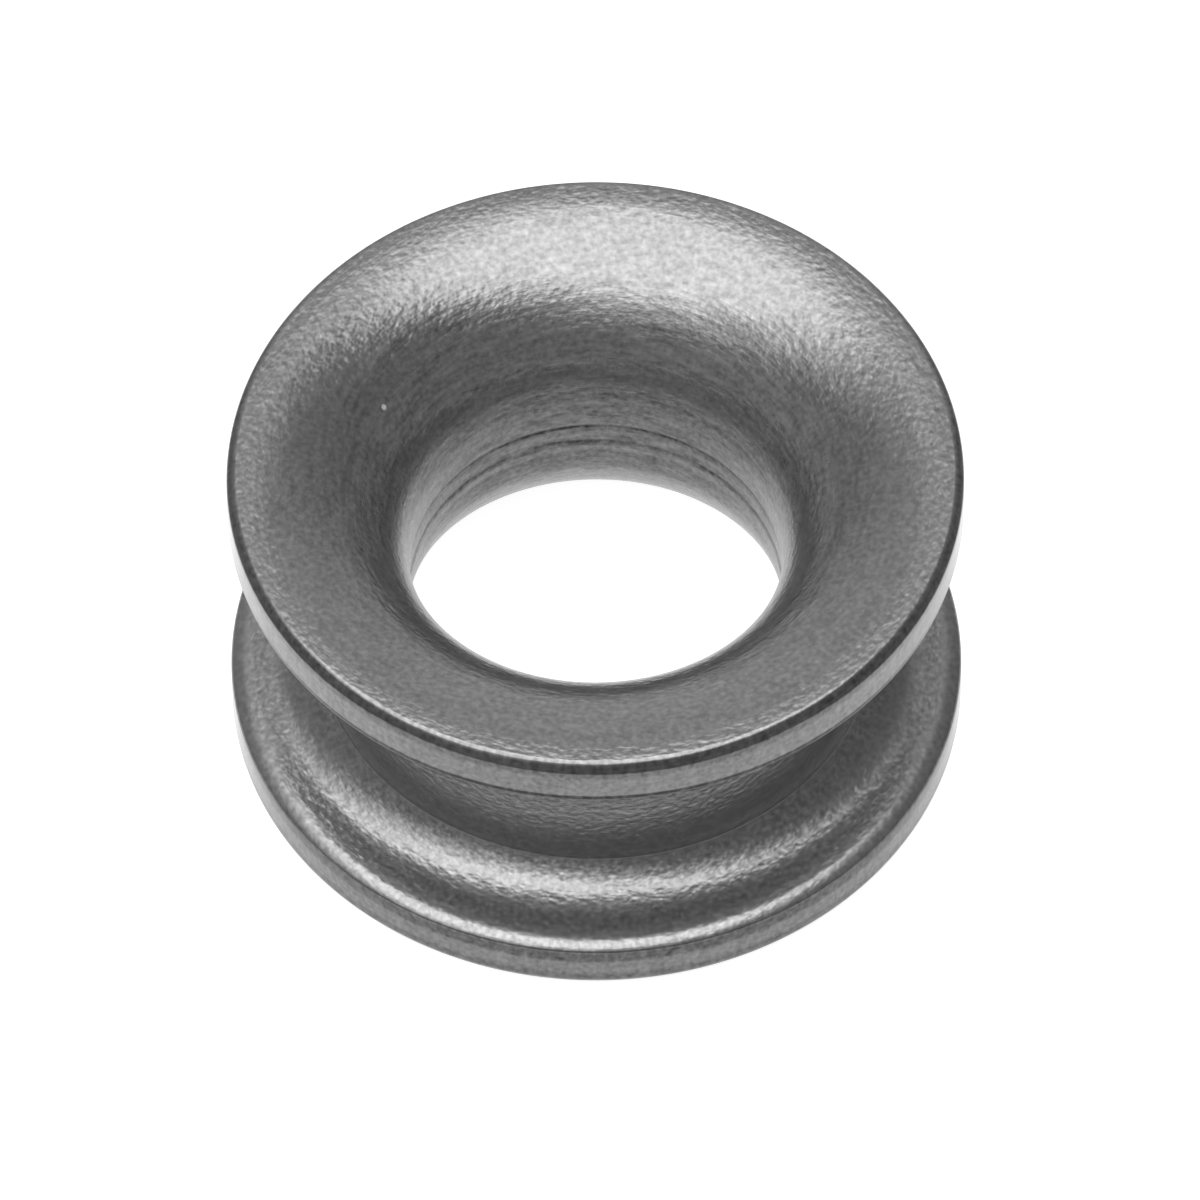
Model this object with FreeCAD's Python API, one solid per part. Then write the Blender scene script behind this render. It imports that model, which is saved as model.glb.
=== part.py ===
import FreeCAD, Part
import math
import os

# Rope fairlead eye: one turned ring with two equal rim flanges, a trumpet
# bore that flares to both faces, and a lashing groove round the outside.
# Millimetres. Origin at the centre of the underside, +Z along the bore.

# ---- driving dimensions -------------------------------------------------
outer_radius = 19.40         # over the rim lands
height = 19.40               # face to face
throat_radius = 9.85         # bore at its narrowest, 20 mm nominal
bell_width = 8.60            # bell flare, measured across the face
bell_depth = 7.80            # bell flare, measured along the bore
edge_round = 0.40            # edge of the rim next to the face
corner_round = 0.76          # softer corner of the rim next to the land
corner_turn = 46.0           # degrees, where the edge and corner rounds meet
land_inner_z = 7.00          # mid-plane to the groove side of a rim land
lip_round = 0.30             # sharp corner between a rim land and its lip
lip_blend = 1.60             # soft round from the lip into the groove flank
lip_turn = 38.0              # degrees, slope where the two lip rounds meet
flank_tilt = 8.0             # degrees, slope of the groove flanks
groove_arc = 4.10            # hollow arcs between the flanks and the floor
groove_arc_turn = 52.0       # degrees, slope where a hollow arc ends
floor_fillet = 0.10          # root fillet at each side of the groove floor
groove_floor_radius = 14.80  # bottom of the lashing groove

mid_z = height / 2.0
crest_radius = throat_radius + bell_width    # where the bell meets the face
throat_half = mid_z - bell_depth             # half height of the throat land


def pt(r, z):
    """Point of the half section: r from the axis, z from the mid-plane."""
    return FreeCAD.Vector(r, 0.0, mid_z + z)


def on_circle(centre, radius, slope_deg):
    """Point of a circle where the surface slopes by slope_deg to the faces.

    A positive radius is a rounded edge, with the material under the arc. A
    negative one is a hollow, with the material outside the arc.
    """
    a = math.radians(slope_deg)
    return (centre[0] + radius * math.sin(a), centre[1] + radius * math.cos(a))


# ---- the lower side of the groove, mirrored later -------------------------
flank_a = math.radians(flank_tilt)

# sharp corner of the lip, tangent to the rim land
lip_c = (outer_radius - lip_round, -land_inner_z)
lip_mid = on_circle(lip_c, lip_round, (90.0 + lip_turn) / 2.0)
lip_end = on_circle(lip_c, lip_round, lip_turn)

# soft round of the lip, tangent to the sharp corner and to the flank
blend_c = on_circle(lip_end, -lip_blend, lip_turn)
blend_mid = on_circle(blend_c, lip_blend, (lip_turn + flank_tilt) / 2.0)
blend_end = on_circle(blend_c, lip_blend, flank_tilt)

# straight flank, hollow arc, then the root fillet, tangent to the floor
turn_a = math.radians(groove_arc_turn)
flank = ((blend_end[0] - groove_floor_radius
          - groove_arc * (math.sin(turn_a) - math.sin(flank_a))
          - floor_fillet * (1.0 - math.sin(turn_a))) / math.cos(flank_a))
flank_end = (blend_end[0] - flank * math.cos(flank_a),
             blend_end[1] + flank * math.sin(flank_a))
arc_c = on_circle(flank_end, groove_arc, flank_tilt)
arc_mid = on_circle(arc_c, -groove_arc, (groove_arc_turn + flank_tilt) / 2.0)
arc_end = on_circle(arc_c, -groove_arc, groove_arc_turn)
fillet_c = on_circle(arc_end, floor_fillet, groove_arc_turn)
fillet_mid = on_circle(fillet_c, -floor_fillet, (90.0 + groove_arc_turn) / 2.0)
floor_end = (groove_floor_radius, fillet_c[1])

# ---- the outer corner and the bell, lower side ----------------------------
turn = math.radians(corner_turn)
face_r = (outer_radius - corner_round * (1.0 - math.cos(turn))
          - edge_round * math.cos(turn))
rim_z = (mid_z - edge_round * (1.0 - math.sin(turn))
         - corner_round * math.sin(turn))


def on_rim(centre, radius, normal_deg):
    """Point of a rim round where the surface faces down by normal_deg."""
    a = math.radians(normal_deg)
    return (centre[0] + radius * math.cos(a), centre[1] - radius * math.sin(a))


edge_c = (face_r, -(mid_z - edge_round))
edge_mid = on_rim(edge_c, edge_round, (90.0 + corner_turn) / 2.0)
edge_end = on_rim(edge_c, edge_round, corner_turn)
corner_c = (outer_radius - corner_round, -rim_z)
corner_mid = on_rim(corner_c, corner_round, corner_turn / 2.0)

throat_lo = (throat_radius, -throat_half)
crest_lo = (crest_radius, -mid_z)
face_lo = (face_r, -mid_z)
rim_lo = (outer_radius, -rim_z)
land_lo = (outer_radius, -land_inner_z)


def line(a, b):
    return Part.LineSegment(pt(*a), pt(*b)).toShape()


def arc(a, m, b):
    return Part.Arc(pt(*a), pt(*m), pt(*b)).toShape()


def bell(side):
    """Quarter ellipse from the throat to the crest; side is 1 up, -1 down."""
    centre = pt(crest_radius, side * throat_half)
    shape = Part.Ellipse(pt(throat_radius, side * throat_half),
                         pt(crest_radius, side * mid_z), centre)
    start = pt(throat_radius, side * throat_half)
    end = pt(crest_radius, side * mid_z)
    first, last = shape.parameter(start), shape.parameter(end)
    while last < first:
        last += 2.0 * math.pi
    return Part.ArcOfEllipse(shape, first, last).toShape()


def up(p):
    """The same point on the upper side."""
    return (p[0], -p[1])


edges = [
    line(throat_lo, up(throat_lo)),                      # throat land
    bell(1),                                             # upper bell
    line(up(crest_lo), up(face_lo)),                     # narrow flat facing
    arc(up(face_lo), up(edge_mid), up(edge_end)),        # upper rim edge
    arc(up(edge_end), up(corner_mid), up(rim_lo)),       # upper rim corner
    line(up(rim_lo), up(land_lo)),                       # upper rim land
    arc(up(land_lo), up(lip_mid), up(lip_end)),          # upper lip, sharp
    arc(up(lip_end), up(blend_mid), up(blend_end)),      # upper lip, soft
    line(up(blend_end), up(flank_end)),                  # upper flank
    arc(up(flank_end), up(arc_mid), up(arc_end)),        # upper hollow arc
    arc(up(arc_end), up(fillet_mid), up(floor_end)),     # upper root fillet
    line(up(floor_end), floor_end),                      # groove floor
    arc(floor_end, fillet_mid, arc_end),                 # lower root fillet
    arc(arc_end, arc_mid, flank_end),                    # lower hollow arc
    line(flank_end, blend_end),                          # lower flank
    arc(blend_end, blend_mid, lip_end),                  # lower lip, soft
    arc(lip_end, lip_mid, land_lo),                      # lower lip, sharp
    line(land_lo, rim_lo),                               # lower rim land
    arc(rim_lo, corner_mid, edge_end),                   # lower rim corner
    arc(edge_end, edge_mid, face_lo),                    # lower rim edge
    line(face_lo, crest_lo),                             # lower flat facing
    bell(-1),                                            # lower bell
]

section = Part.Face(Part.Wire(edges))
ring = section.revolve(FreeCAD.Vector(0, 0, 0), FreeCAD.Vector(0, 0, 1), 360.0)
if ring.ShapeType != "Solid":
    ring = Part.Solid(ring) if ring.ShapeType == "Shell" else ring.Solids[0]

print("valid", ring.isValid(), "volume mm3", round(ring.Volume, 1), "faces", len(ring.Faces))
print("groove floor height", round(-2 * floor_end[1], 3), "flank", round(flank, 3))
print("facing", round(crest_radius, 3), "to", round(face_r, 3), "rim land to", round(rim_z, 3))
print("throat land height", round(2 * throat_half, 3))
print("wall at the throat", round(groove_floor_radius - throat_radius, 3))

os.makedirs("parts", exist_ok=True)
ring.exportStep("parts/ring.step")
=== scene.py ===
import math

import bpy
import numpy as np
from mathutils import Matrix, Vector


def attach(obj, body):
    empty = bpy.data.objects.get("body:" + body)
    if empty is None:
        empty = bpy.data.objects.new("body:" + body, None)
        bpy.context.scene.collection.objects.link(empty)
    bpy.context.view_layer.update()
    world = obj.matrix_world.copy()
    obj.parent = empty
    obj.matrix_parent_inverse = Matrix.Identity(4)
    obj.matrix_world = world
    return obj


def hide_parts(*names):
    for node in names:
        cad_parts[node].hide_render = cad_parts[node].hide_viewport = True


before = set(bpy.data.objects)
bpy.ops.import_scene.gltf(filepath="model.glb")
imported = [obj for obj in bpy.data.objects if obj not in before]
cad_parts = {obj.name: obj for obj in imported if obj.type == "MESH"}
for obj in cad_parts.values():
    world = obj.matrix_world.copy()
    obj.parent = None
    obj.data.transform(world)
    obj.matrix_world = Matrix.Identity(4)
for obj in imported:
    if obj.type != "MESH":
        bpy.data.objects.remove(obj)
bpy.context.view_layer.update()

scene = bpy.context.scene
MM = 0.001

# ---- the ring's section, in millimetres from the axis and the mid-plane ----
R_OUT = 19.40
HEIGHT = 19.40
R_THROAT = 9.85
BELL_WIDE = 8.60
BELL_DEEP = 7.80
R_EDGE = 0.40
R_CORNER = 0.76
CORNER_TURN = math.radians(46.0)
Z_LAND = 7.00
R_LIP = 0.30
R_BLEND = 1.60
LIP_TURN = math.radians(38.0)
FLANK = math.radians(8.0)
R_HOLLOW = 4.10
HOLLOW_TURN = math.radians(52.0)
R_FILLET = 0.10
R_FLOOR = 14.80
MID = HEIGHT / 2
R_CREST = R_THROAT + BELL_WIDE
Z_THROAT = MID - BELL_DEEP
R_FACE = R_OUT - R_CORNER * (1 - math.cos(CORNER_TURN)) - R_EDGE * math.cos(CORNER_TURN)
Z_RIM = MID - R_EDGE * (1 - math.sin(CORNER_TURN)) - R_CORNER * math.sin(CORNER_TURN)

AROUND = 288


def section():
    """Closed loop of (r, z, blast, land, turned) from the throat up, over the
    top, down the outside and back up through the lower bell."""
    up = []

    def put(r, z, blast, land, turned):
        up.append((r, z, blast, land, turned))

    def run(a, b, n, tags, first=False):
        for i in range(0 if first else 1, n + 1):
            t = i / n
            put(a[0] + (b[0] - a[0]) * t, a[1] + (b[1] - a[1]) * t, *tags)

    def arc(c, rad, a0, a1, n, tags):
        """Points at slope a0 to a1, where the slope is the normal's angle from +Z."""
        for i in range(1, n + 1):
            t = i / n
            a = a0 + (a1 - a0) * t
            g = tags(t) if callable(tags) else tags
            put(c[0] + rad * math.sin(a), c[1] + rad * math.cos(a), *g)

    run((R_THROAT, 0.55), (R_THROAT, Z_THROAT), 5, (0.3, 0, 1), first=True)
    # the bell is a quarter of an ellipse, with turning marks on its steep part
    for i in range(1, 61):
        t = i / 60
        a = math.pi / 2 * t
        put(R_CREST - BELL_WIDE * math.cos(a), Z_THROAT + BELL_DEEP * math.sin(a),
            min(1, 0.3 + 1.6 * t), 0, min(1, max(0.35, (0.84 - t) * 4.5)))
    run((R_CREST, MID), (R_FACE, MID), 3, (1, 0, 0.35))
    a = math.pi / 2 - CORNER_TURN
    arc((R_FACE, MID - R_EDGE), R_EDGE, 0, a, 10, lambda t: (1 - t, t, 0.35 - 0.35 * t))
    arc((R_OUT - R_CORNER, Z_RIM), R_CORNER, a, math.pi / 2, 10, (0, 1, 0))
    run((R_OUT, Z_RIM), (R_OUT, Z_LAND), 6, (0, 1, 0))
    arc((R_OUT - R_LIP, Z_LAND), R_LIP, math.pi / 2, math.pi - LIP_TURN, 8, lambda t: (0.5 * t, 1 - t, 0))
    p = (R_OUT - R_LIP + R_LIP * math.sin(LIP_TURN), Z_LAND - R_LIP * math.cos(LIP_TURN))
    c = (p[0] - R_BLEND * math.sin(LIP_TURN), p[1] + R_BLEND * math.cos(LIP_TURN))
    arc(c, R_BLEND, math.pi - LIP_TURN, math.pi - FLANK, 10, (0.7, 0, 0))
    p = (c[0] + R_BLEND * math.sin(FLANK), c[1] - R_BLEND * math.cos(FLANK))
    length = (p[0] - R_FLOOR - R_HOLLOW * (math.sin(HOLLOW_TURN) - math.sin(FLANK))
              - R_FILLET * (1 - math.sin(HOLLOW_TURN))) / math.cos(FLANK)
    q = (p[0] - length * math.cos(FLANK), p[1] - length * math.sin(FLANK))
    run(p, q, 4, (1, 0, 0))
    c = (q[0] + R_HOLLOW * math.sin(FLANK), q[1] - R_HOLLOW * math.cos(FLANK))
    arc(c, -R_HOLLOW, math.pi - FLANK, math.pi - HOLLOW_TURN, 14, (1, 0, 0))
    q = (c[0] - R_HOLLOW * math.sin(HOLLOW_TURN), c[1] + R_HOLLOW * math.cos(HOLLOW_TURN))
    c = (q[0] + R_FILLET * math.sin(HOLLOW_TURN), q[1] - R_FILLET * math.cos(HOLLOW_TURN))
    arc(c, -R_FILLET, math.pi - HOLLOW_TURN, math.pi / 2, 14, (1, 0, 0))
    run((R_FLOOR, c[1]), (R_FLOOR, 0.0), 8, (1, 0, 0))
    up = np.array(up)
    low = up[::-1][1:-1] * np.array([1, -1, 1, 1, 1])
    # the seam of the two halves of the bore: a shallow step at the mid-plane
    # that runs out again in a fine tool line
    low = low[(low[:, 0] > 11) | (low[:, 1] < -1.4)]
    seam = np.array([(0.00, -1.05, 0.3, 0, 1), (0.050, -0.88, 0.3, 0, 1), (0.045, -0.76, 0.3, 0, 1),
                     (0.075, 0.37, 0.3, 0, 1), (0.10, 0.46, 0.3, 0, 1)])
    seam[:, 0] += R_THROAT
    return np.vstack([up, low, seam])


def lathe(name, sec, around):
    """A closed quad mesh turned from the section, with its zones as attributes."""
    n = len(sec)
    th = np.linspace(0, 2 * math.pi, around, endpoint=False)
    co = np.empty((n, around, 3))
    co[..., 0] = sec[:, 0, None] * np.cos(th)
    co[..., 1] = sec[:, 0, None] * np.sin(th)
    co[..., 2] = (sec[:, 1] + MID)[:, None]
    co = co.reshape(-1, 3) * MM
    i = np.arange(n)[:, None]
    j = np.arange(around)[None, :]
    i2, j2 = (i + 1) % n, (j + 1) % around
    quads = np.stack([i * around + j, i2 * around + j, i2 * around + j2, i * around + j2], -1).reshape(-1, 4)
    mesh = bpy.data.meshes.new(name)
    mesh.vertices.add(len(co))
    mesh.vertices.foreach_set("co", co.ravel())
    mesh.loops.add(quads.size)
    mesh.loops.foreach_set("vertex_index", quads.ravel())
    mesh.polygons.add(len(quads))
    mesh.polygons.foreach_set("loop_start", np.arange(0, quads.size, 4))
    mesh.update(calc_edges=True)
    mesh.validate()
    for k, tag in enumerate(("blast", "land", "turned")):
        layer = mesh.attributes.new(tag, "FLOAT", "POINT")
        layer.data.foreach_set("value", np.repeat(sec[:, 2 + k], around).astype(np.float32))
    mesh.polygons.foreach_set("use_smooth", np.ones(len(quads), bool))
    obj = bpy.data.objects.new(name, mesh)
    scene.collection.objects.link(obj)
    return obj


# ---- node helpers -----------------------------------------------------------
class Tree:
    def __init__(self, tree):
        self.t = tree
        self.x = 0

    def add(self, kind, **props):
        n = self.t.nodes.new(kind)
        self.x += 180
        n.location = (self.x, 0)
        for k, v in props.items():
            setattr(n, k, v)
        return n

    def put(self, socket, value):
        if isinstance(value, bpy.types.NodeSocket):
            self.t.links.new(value, socket)
        else:
            socket.default_value = value

    def math(self, op, a, b=None, c=None, clamp=False):
        n = self.add("ShaderNodeMath", operation=op, use_clamp=clamp)
        self.put(n.inputs[0], a)
        if b is not None:
            self.put(n.inputs[1], b)
        if c is not None:
            self.put(n.inputs[2], c)
        return n.outputs[0]

    def noise(self, vector, scale, detail=2.0, rough=0.5, dims="3D", w=None):
        n = self.add("ShaderNodeTexNoise", noise_dimensions=dims)
        self.put(n.inputs["Vector"], vector)
        n.inputs["Scale"].default_value = scale
        n.inputs["Detail"].default_value = detail
        n.inputs["Roughness"].default_value = rough
        if w is not None:
            self.put(n.inputs["W"], w)
        return n.outputs[0]

    def remap(self, value, a, b, c=0.0, d=1.0, smooth=False):
        n = self.add("ShaderNodeMapRange", interpolation_type="SMOOTHSTEP" if smooth else "LINEAR")
        self.put(n.inputs[0], value)
        for k, v in zip((1, 2, 3, 4), (a, b, c, d)):
            n.inputs[k].default_value = v
        return n.outputs[0]

    def attribute(self, name):
        n = self.add("ShaderNodeAttribute", attribute_name=name)
        return n.outputs["Fac"]


def anodised():
    """Blasted, hard anodised aluminium with faint turning marks, and painted shade and painted light in zones of its
    bore, groove and rim lands.
    """
    mat = bpy.data.materials.new("anodised")
    mat.use_nodes = True
    t = Tree(mat.node_tree)
    t.t.nodes.clear()
    out = t.add("ShaderNodeOutputMaterial")
    bsdf = t.add("ShaderNodeBsdfPrincipled")
    t.put(out.inputs["Surface"], bsdf.outputs[0])
    coord = t.add("ShaderNodeTexCoord").outputs["Object"]
    sep = t.add("ShaderNodeSeparateXYZ")
    t.put(sep.inputs[0], coord)
    x, y, z = sep.outputs
    r = t.math("SQRT", t.math("ADD", t.math("MULTIPLY", x, x), t.math("MULTIPLY", y, y)))
    cx = t.math("DIVIDE", x, r)
    cy = t.math("DIVIDE", y, r)
    blast = t.attribute("blast")
    land = t.attribute("land")
    turned = t.attribute("turned")

    # coordinates that run fast across the section and slowly round the ring
    ring_vec = t.add("ShaderNodeCombineXYZ")
    t.put(ring_vec.inputs[0], t.math("MULTIPLY", r, 1000.0))
    t.put(ring_vec.inputs[1], t.math("MULTIPLY", z, 1000.0))
    t.put(ring_vec.inputs[2], t.math("MULTIPLY", cx, 2.2))
    ring_w = t.math("MULTIPLY", cy, 2.2)

    # the same round the rim: runs fast round the ring and slowly along it
    axial_vec = t.add("ShaderNodeCombineXYZ")
    t.put(axial_vec.inputs[0], t.math("MULTIPLY", cx, 19.3))
    t.put(axial_vec.inputs[1], t.math("MULTIPLY", cy, 19.3))
    t.put(axial_vec.inputs[2], t.math("MULTIPLY", z, 300.0))

    # the blast grain, a little longer round the ring than across it
    grain_vec = t.add("ShaderNodeCombineXYZ")
    t.put(grain_vec.inputs[0], t.math("MULTIPLY", r, 1000.0))
    t.put(grain_vec.inputs[1], t.math("MULTIPLY", z, 1000.0))
    t.put(grain_vec.inputs[2], t.math("MULTIPLY", cx, 10.5))
    grain = t.noise(grain_vec.outputs[0], 3.3, 1.0, 0.5, "4D", t.math("MULTIPLY", cy, 10.5))
    coarse = t.noise(coord, 1500.0, 2.0, 0.5)
    streak = t.noise(ring_vec.outputs[0], 3.0, 3.0, 0.55, "4D", ring_w)
    axial = t.noise(axial_vec.outputs[0], 2.6, 2.0, 0.6)

    mottle = t.noise(coord, 3300.0, 1.0, 0.5)
    # darker near the throat: painted shade in the bore
    bore = t.remap(r, 0.00995, 0.01012, 1.0, 0.0, True)
    inner = t.math("SUBTRACT", t.remap(r, 0.0112, 0.0135, 1.0, 0.0, True), bore)
    # the wall of the bell just above the throat is a little paler: painted light
    wall = t.math("MULTIPLY", t.remap(r, 0.0104, 0.0112, 1.0, 0.0, True), t.remap(r, 0.00990, 0.01010, 0.0, 1.0, True))
    # the groove is a little softer than the faces
    grooved = t.math("MULTIPLY", t.remap(r, 0.0145, 0.0147, 0.0, 1.0), t.remap(t.math("ABSOLUTE", t.math("SUBTRACT", z, MID * MM)), 0.0066, 0.0070, 1.0, 0.0, True))
    # with a paler zone where its hollow runs into its sides, and a second where its side runs into the lip: painted
    # light
    groove_painted_light = t.math("MULTIPLY", t.remap(r, 0.0164, 0.0169, 0.0, 0.04, True), t.remap(r, 0.0171, 0.0177, 1.0, 0.0, True))
    groove_painted_light = t.math("ADD", groove_painted_light, t.math("MULTIPLY", t.remap(r, 0.0180, 0.0184, 0.0, 0.03, True), t.remap(r, 0.0186, 0.0189, 1.0, 0.0, True)))
    # the throat is a little darker than the bell: painted shade
    throat_painted_shade = t.remap(r, 0.0107, 0.0114, 0.012, 0.0, True)
    # dark lines where the two halves of the bore meet, painted shade at the steps, and the paler ridge between, painted
    # light
    seam_hi = t.remap(t.math("ABSOLUTE", t.math("SUBTRACT", z, 0.01014)), 0.00006, 0.00030, 1.0, 0.0, True)
    seam_lo = t.remap(t.math("ABSOLUTE", t.math("SUBTRACT", z, 0.00882)), 0.00003, 0.00024, 1.0, 0.0, True)
    ridge_painted_light = t.remap(t.math("ABSOLUTE", t.math("SUBTRACT", z, 0.00945)), 0.00010, 0.00035, 0.03, 0.0, True)
    ridge_painted_light = t.math("ADD", ridge_painted_light, t.remap(t.math("ABSOLUTE", t.math("SUBTRACT", z, 0.00830)), 0.00008, 0.00035, 0.04, 0.0, True))
    seam_shade_and_light = t.math("ADD", t.math("MULTIPLY", seam_hi, 0.055), t.math("MULTIPLY", seam_lo, 0.04))
    seam_shade_and_light = t.math("MULTIPLY", t.math("SUBTRACT", seam_shade_and_light, ridge_painted_light), t.remap(r, 0.01000, 0.01010, 1.0, 0.0))
    # darker line on the groove side of the lower rim land: painted shade
    painted_shade = t.math("MULTIPLY", land, t.math("MULTIPLY", t.remap(z, 0.00188, 0.00225, 0.0, 1.0, True), t.remap(z, 0.0032, 0.0042, 0.08, 0.0)))
    # and the dark line along the lower edge of the upper rim land: painted shade
    line = t.math("MULTIPLY", t.remap(z, 0.0163, 0.0165, 0.0, 0.14, True), t.remap(z, 0.01684, 0.01698, 1.0, 0.0, True))
    painted_shade = t.math("ADD", painted_shade, t.math("MULTIPLY", line, t.remap(r, 0.0188, 0.0190, 0.0, 1.0, True)))
    # and the outer edges of both lands, and a faint darker zone round the middle of the groove, darkest just above it:
    # all painted shade
    ends = t.math("ABSOLUTE", t.math("SUBTRACT", z, MID * MM))
    painted_shade = t.math("ADD", painted_shade, t.math("MULTIPLY", land, t.remap(ends, 0.0085, 0.0089, 0.0, 0.05, True)))
    painted_shade = t.math("ADD", painted_shade, t.math("MULTIPLY", t.math("MULTIPLY", grooved, t.math("MULTIPLY", t.remap(z, 0.0086, 0.0102, 0.0, 0.055, True), t.remap(z, 0.0104, 0.0128, 1.0, 0.0, True))), t.remap(r, 0.0150, 0.0170, 1.0, 0.2, True)))
    patch = t.math("ADD", t.math("MULTIPLY", t.remap(r, 0.0166, 0.0173), t.remap(r, 0.0180, 0.0185, 1.0, 0.0)),
                   t.math("MULTIPLY", t.remap(r, 0.01482, 0.0149), t.remap(r, 0.0154, 0.0160, 1.0, 0.0)))
    spread = t.math("ADD", 0.15, t.math("MULTIPLY", t.math("MULTIPLY", grooved, patch), 0.09))
    grey = t.math("ADD", 0.16, t.math("MULTIPLY", t.math("SUBTRACT", mottle, 0.5), spread))
    # the blast grain shows as tone too
    tone = t.math("MULTIPLY", t.math("SUBTRACT", grain, 0.5), t.math("MULTIPLY", blast, 0.05))
    grey = t.math("ADD", grey, t.math("MULTIPLY", tone, t.remap(z, 0.0172, 0.0178, 0.0, 1.0)))
    # one pale speck on the left of the bell
    spot = t.add("ShaderNodeVectorMath", operation="DISTANCE")
    t.put(spot.inputs[0], coord)
    spot.inputs[1].default_value = (-0.011133, 0.005795, 0.017276)
    grey = t.math("ADD", grey, t.remap(spot.outputs["Value"], 0.00008, 0.00022, 0.50, 0.0, True))
    grey = t.math("ADD", grey, t.math("MULTIPLY", t.math("SUBTRACT", streak, 0.5), t.math("MULTIPLY", turned, 0.20)))
    grey = t.math("ADD", grey, t.math("MULTIPLY", t.math("MULTIPLY", t.math("SUBTRACT", axial, 0.5), land), 0.10))
    # the painted shade and painted light of the zones above go into the grey here
    grey = t.math("SUBTRACT", grey, t.math("MULTIPLY", bore, 0.04))
    grey = t.math("ADD", grey, t.math("ADD", t.math("MULTIPLY", wall, 0.04), t.math("MULTIPLY", grooved, t.math("ADD", 0.035, groove_painted_light))))
    grey = t.math("SUBTRACT", grey, t.math("ADD", throat_painted_shade, seam_shade_and_light))
    grey = t.math("MAXIMUM", t.math("SUBTRACT", grey, painted_shade), 0.012)
    col = t.add("ShaderNodeCombineColor")
    for k in range(3):
        t.put(col.inputs[k], grey)
    t.put(bsdf.inputs["Base Color"], col.outputs[0])
    t.put(bsdf.inputs["Metallic"], t.math("SUBTRACT", 0.77, t.math("ADD", t.math("MULTIPLY", inner, 0.12), t.math("MULTIPLY", grooved, 0.03))))
    rough = t.math("ADD", t.remap(land, 0, 1, 0.22, 0.15), t.math("MULTIPLY", t.math("SUBTRACT", coarse, 0.5), 0.08))
    t.put(bsdf.inputs["Roughness"], t.math("ADD", rough, t.math("ADD", t.math("MULTIPLY", grooved, 0.03), t.remap(r, 0.0102, 0.0115, 0.06, 0.0, True))))

    h_grain = t.math("MULTIPLY", t.math("MULTIPLY", grain, blast), 0.031)
    h_streak = t.math("MULTIPLY", t.math("MULTIPLY", streak, turned), 0.026)
    height = t.math("ADD", h_grain, h_streak)
    bump = t.add("ShaderNodeBump")
    bump.inputs["Strength"].default_value = 1.0
    bump.inputs["Distance"].default_value = 0.001
    t.put(bump.inputs["Height"], height)
    t.put(bsdf.inputs["Normal"], bump.outputs[0])
    return mat


ring = lathe("fairlead_ring", section(), AROUND)
ring.data.materials.append(anodised())
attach(ring, "root")
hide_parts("ring")

# ---- floor ------------------------------------------------------------------
bpy.ops.mesh.primitive_circle_add(vertices=96, radius=4.0, fill_type="NGON", location=(0, 0, 0))
floor = bpy.context.object
floor.name = "floor"
glowing_floor_mat = bpy.data.materials.new("glowing_floor_card")
glowing_floor_mat.use_nodes = True
b = glowing_floor_mat.node_tree.nodes["Principled BSDF"]
b.inputs["Emission Color"].default_value = (1, 1, 1, 1)
p = Tree(glowing_floor_mat.node_tree)
p_sep = p.add("ShaderNodeSeparateXYZ")
p.put(p_sep.inputs[0], p.add("ShaderNodeTexCoord").outputs["Object"])
# a white card lies on the pale floor: 74 mm wide, from 38 mm in front to 62 mm behind. The card glows: painted light
# that washes out the ring's shadow
card_x = p.remap(p.math("ABSOLUTE", p_sep.outputs[0]), 0.034, 0.040, 1.0, 0.0, True)
card_y = p.remap(p.math("ABSOLUTE", p.math("SUBTRACT", p_sep.outputs[1], 0.012)), 0.047, 0.053, 1.0, 0.0, True)
card = p.math("MULTIPLY", card_x, card_y)
p_x2 = p.math("MULTIPLY", p_sep.outputs[0], p_sep.outputs[0])
p_r = p.math("SQRT", p.math("ADD", p_x2, p.math("MULTIPLY", p_sep.outputs[1], p_sep.outputs[1])))
# the glow is stronger under and inside the ring: painted light that fills in the ring's shadow there
card_glow = p.math("ADD", 0.81, p.remap(p_r, 0.0148, 0.0168, 0.09, 0.0, True))
p.put(b.inputs["Emission Strength"], p.math("MULTIPLY", card, card_glow))
p_grey = p.remap(card, 0, 1, 0.20, 0.40)
p_col = p.add("ShaderNodeCombineColor")
for k in range(3):
    p.put(p_col.inputs[k], p_grey)
p.put(b.inputs["Base Color"], p_col.outputs[0])
b.inputs["Roughness"].default_value = 0.9
b.inputs["Specular IOR Level"].default_value = 0.1
floor.data.materials.append(glowing_floor_mat)


# ---- light ------------------------------------------------------------------
def lamp(name, dx, dy, wide, deep, radiance, distance):
    """An oval area light aimed at the ring. dx and dy are the direction cosines
    of its centre, to the right and to the far side, and wide and deep are the
    sines of the half angles that it fills as seen from the ring."""
    d = Vector((dx, dy, math.sqrt(1 - dx * dx - dy * dy)))
    rx, ry = distance * math.tan(math.asin(wide)), distance * math.tan(math.asin(deep))
    data = bpy.data.lights.new(name, "AREA")
    data.shape = "ELLIPSE"
    data.size, data.size_y = 2 * rx, 2 * ry
    data.energy = radiance * math.pi * math.pi * rx * ry
    obj = bpy.data.objects.new(name, data)
    obj.location = d * distance + Vector((0, 0, MID * MM))
    obj.rotation_euler = d.to_track_quat("Z", "Y").to_euler()
    scene.collection.objects.link(obj)
    return obj


# one overhead soft light, bright in the middle and fading to its edge
lamp("soft_light_1", -0.06, -0.065, 0.50, 0.555, 1.8, 2.00)
lamp("soft_light_2", -0.13, -0.12, 0.54, 0.56, 1.2, 2.02)
lamp("soft_light_3", -0.20, -0.19, 0.61, 0.63, 0.8, 2.04)
lamp("soft_light_4", -0.18, -0.19, 0.71, 0.71, 0.5, 2.06)

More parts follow.
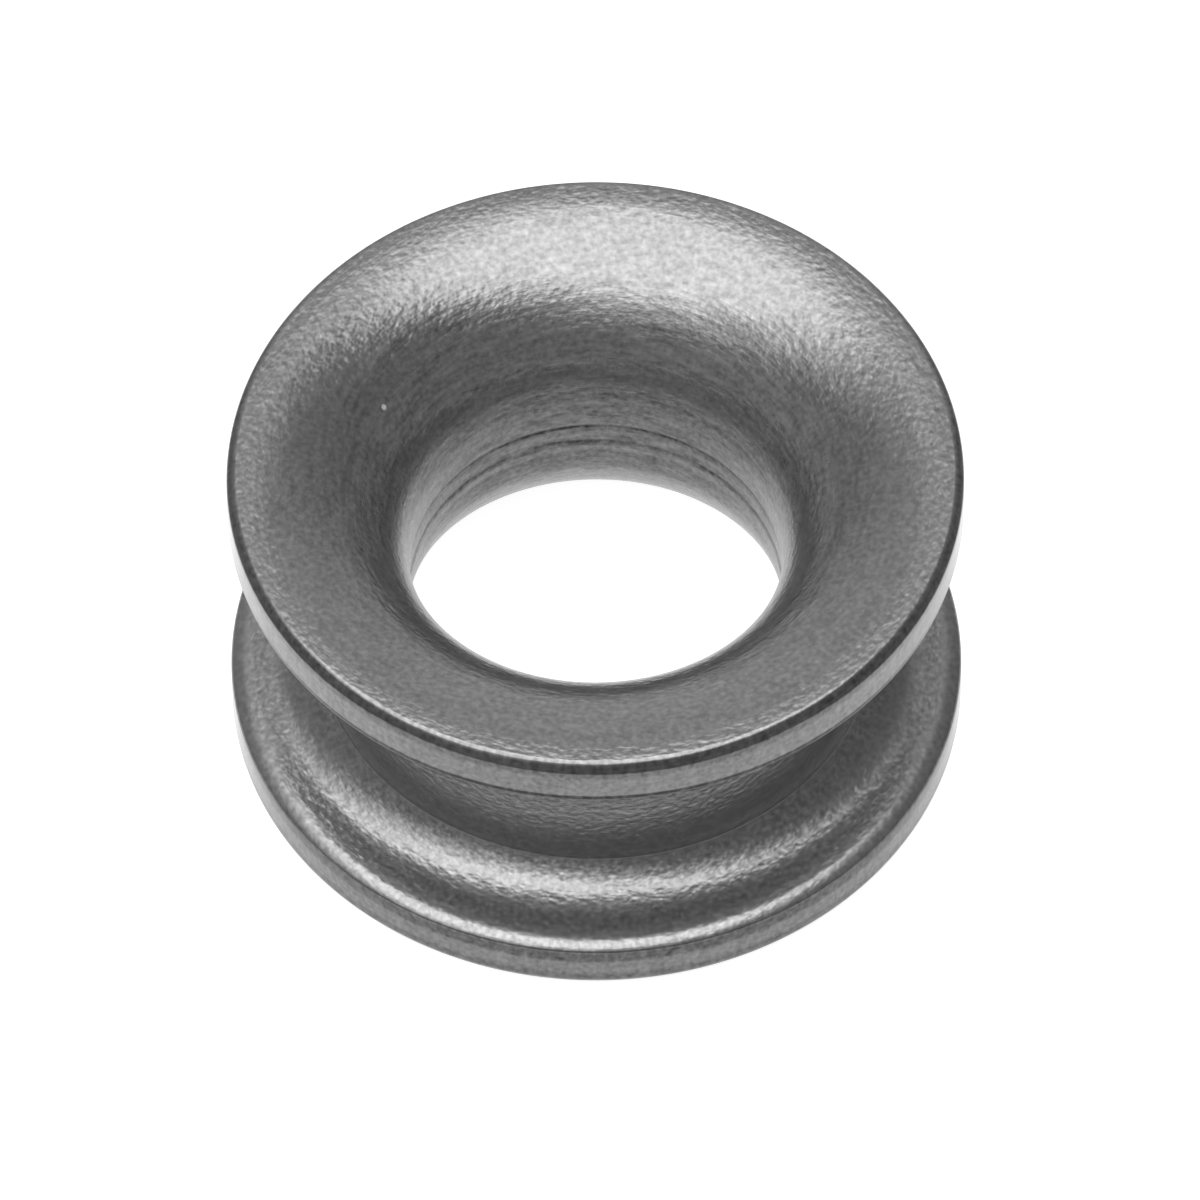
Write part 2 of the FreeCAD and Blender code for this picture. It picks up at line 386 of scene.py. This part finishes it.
world = bpy.data.worlds.new("studio")
scene.world = world
world.use_nodes = True
w = Tree(world.node_tree)
w.t.nodes.clear()
w_out = w.add("ShaderNodeOutputWorld")
w_bg = w.add("ShaderNodeBackground")
w.put(w_out.inputs[0], w_bg.outputs[0])
w_sep = w.add("ShaderNodeSeparateXYZ")
w.put(w_sep.inputs[0], w.add("ShaderNodeTexCoord").outputs["Generated"])
side = w.math("ABSOLUTE", w_sep.outputs[0])
lobe = w.math("MULTIPLY", w.remap(w_sep.outputs[1], 0.50, 0.78, 0.0, 0.72, True), w.remap(side, 0.1, 0.85, 1.0, 0.0, True))
# the soft far edge of the overhead light
edge = w.math("MULTIPLY", w.remap(w_sep.outputs[1], 0.47, 0.505, 0.0, 2.1, True), w.remap(w_sep.outputs[1], 0.545, 0.59, 1.0, 0.0, True))
edge = w.math("MULTIPLY", w.math("MULTIPLY", edge, w.remap(side, 0.08, 0.28, 1.0, 0.0, True)), w.remap(w_sep.outputs[2], 0.0, 0.3, 0.0, 1.0))
level = w.math("ADD", w.math("ADD", 0.32, w.math("ADD", lobe, edge)), w.math("MULTIPLY", w_sep.outputs[0], -0.07))
w.put(w_bg.inputs["Strength"], level)
w_bg.inputs["Color"].default_value = (1, 1, 1, 1)

# ---- camera -----------------------------------------------------------------
UNIT = 19.30 * MM
EL, ROLL, DIST = math.radians(53.465), math.radians(-0.308), 58.85
AIM = Vector((0.0111, 0.0, -0.0932))
cam_data = bpy.data.cameras.new("camera")
cam_data.sensor_width = 36.0
cam_data.lens = 21449.0 * 36.0 / 1200.0
cam_data.clip_start = 0.01
cam_data.clip_end = 50.0
cam = bpy.data.objects.new("camera", cam_data)
back = Vector((0, -math.cos(EL), math.sin(EL)))
right0, up0 = Vector((1, 0, 0)), Vector((0, math.sin(EL), math.cos(EL)))
right = math.cos(ROLL) * right0 + math.sin(ROLL) * up0
upv = -math.sin(ROLL) * right0 + math.cos(ROLL) * up0
rot = Matrix((right, upv, back)).transposed()
place = (AIM + back * DIST) * UNIT + Vector((0, 0, MID * MM))
cam.matrix_world = Matrix.Translation(place) @ rot.to_4x4()
scene.collection.objects.link(cam)
scene.camera = cam

scene.view_settings.view_transform = "Standard"
scene.view_settings.look = "None"
scene.view_settings.exposure = 0.0
scene.view_settings.gamma = 1.0
